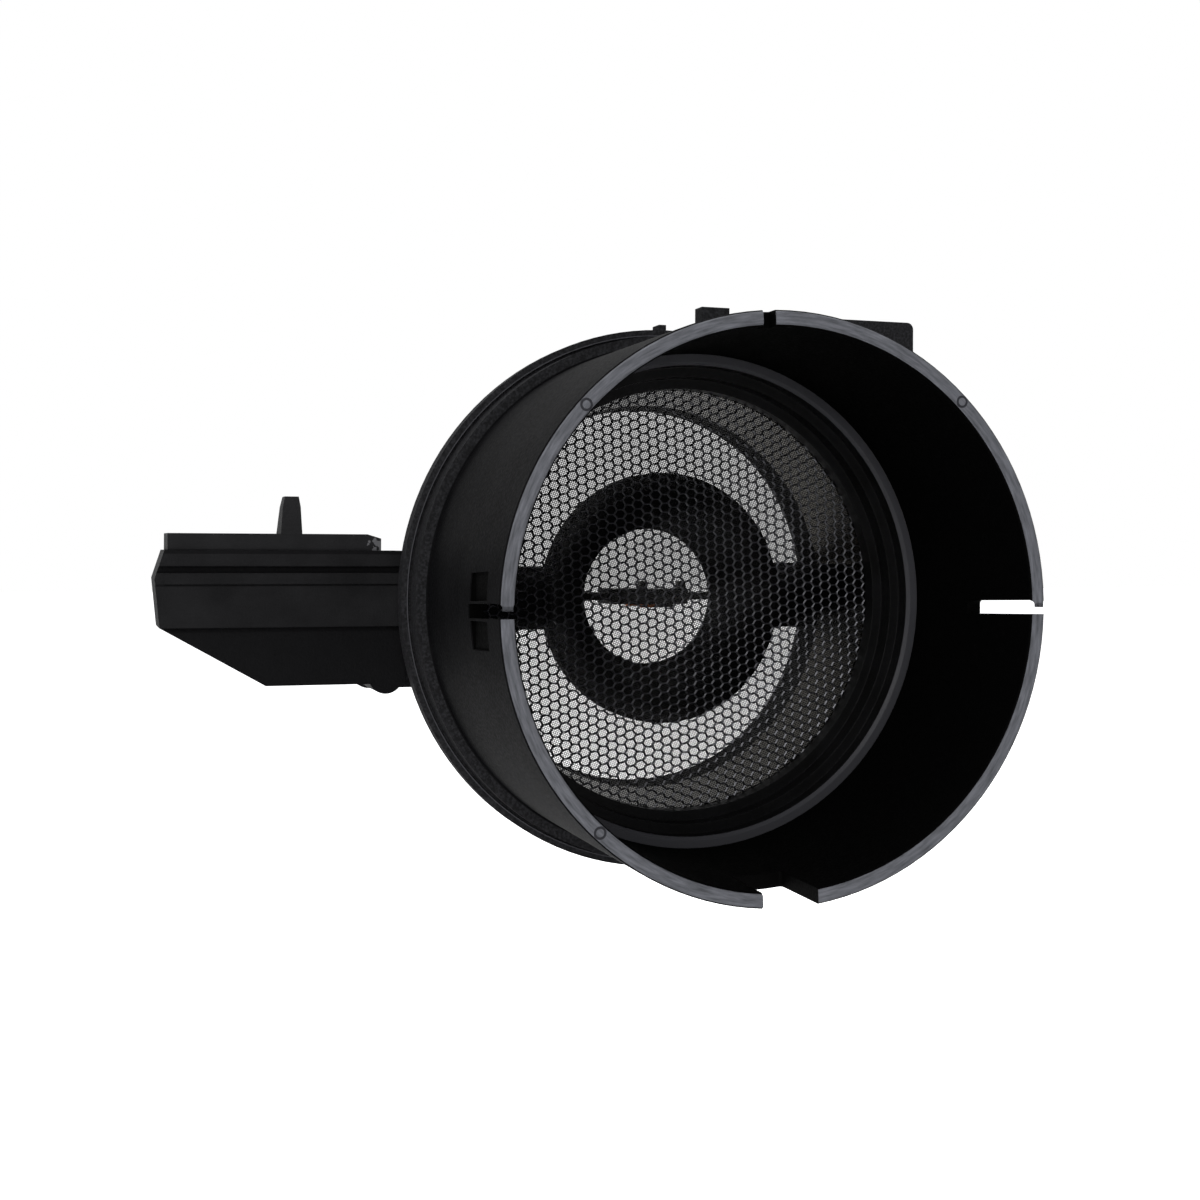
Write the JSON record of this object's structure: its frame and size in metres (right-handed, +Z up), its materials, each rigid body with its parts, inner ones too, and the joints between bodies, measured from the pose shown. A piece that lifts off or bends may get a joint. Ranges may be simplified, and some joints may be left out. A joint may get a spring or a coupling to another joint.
{
  "type": "mass airflow sensor",
  "caption": "Round intake duct with a fine screen, a central nozzle ring and a hot-film probe across it, and a side box with lid and connector socket, for metering engine air.",
  "frame": {"origin": "where the duct axis meets the inlet rim", "axes": "+Y along the duct in the direction of flow, +Z up, +X to the right of someone who looks into the inlet; the sensor module hangs at -X"},
  "size_m": [0.1313, 0.079, 0.0964],
  "materials": {
    "duct_plastic": "moulded, fine grain",
    "insert_plastic": "moulded, smooth",
    "ring_plastic": "moulded, smooth",
    "module_plastic": "moulded, fine grain",
    "lid_plastic": "moulded, fine grain",
    "carrier_plastic": "moulded, filled",
    "chip_plastic": "moulded epoxy",
    "sealant": "cured bead",
    "seal_rubber": "smooth",
    "screen_metal": "drawn wire, dull",
    "steel": "turned, zinc plated",
    "screw_steel": "zinc plated",
    "brass": "turned",
    "aluminium": "rolled",
    "ceramic": "fired, matt",
    "resistor_ceramic": "glazed",
    "capacitor_ceramic": "fired",
    "film_glass": "glass passivated",
    "terminal_metal": "tinned, dull",
    "copper": "bare copper",
    "pin_metal": "tinned"
  },
  "bodies": {
    "root": {"duct_housing": "duct_plastic", "flow_insert": "insert_plastic", "inlet_screen": "screen_metal", "screen_ring": "ring_plastic", "ear_bush": "steel", "module_housing": "module_plastic", "module_lid": "lid_plastic", "lid_seal": "sealant", "module_seal": "seal_rubber", "outlet_seal": "seal_rubber", "screw_inserts": "brass", "module_screws": "screw_steel", "heat_sink": "aluminium", "spacer_block": "aluminium", "hybrid_circuit": "ceramic", "control_chip": "chip_plastic", "power_module": "chip_plastic", "chip_resistors": "resistor_ceramic", "chip_capacitors": "capacitor_ceramic", "sensor_carrier": "carrier_plastic", "hot_film_element": "film_glass", "air_temperature_element": "film_glass", "element_terminals": "terminal_metal", "element_leads": "copper", "connector_pins": "pin_metal", "pin_straps": "pin_metal"}
  },
  "joints": []
}
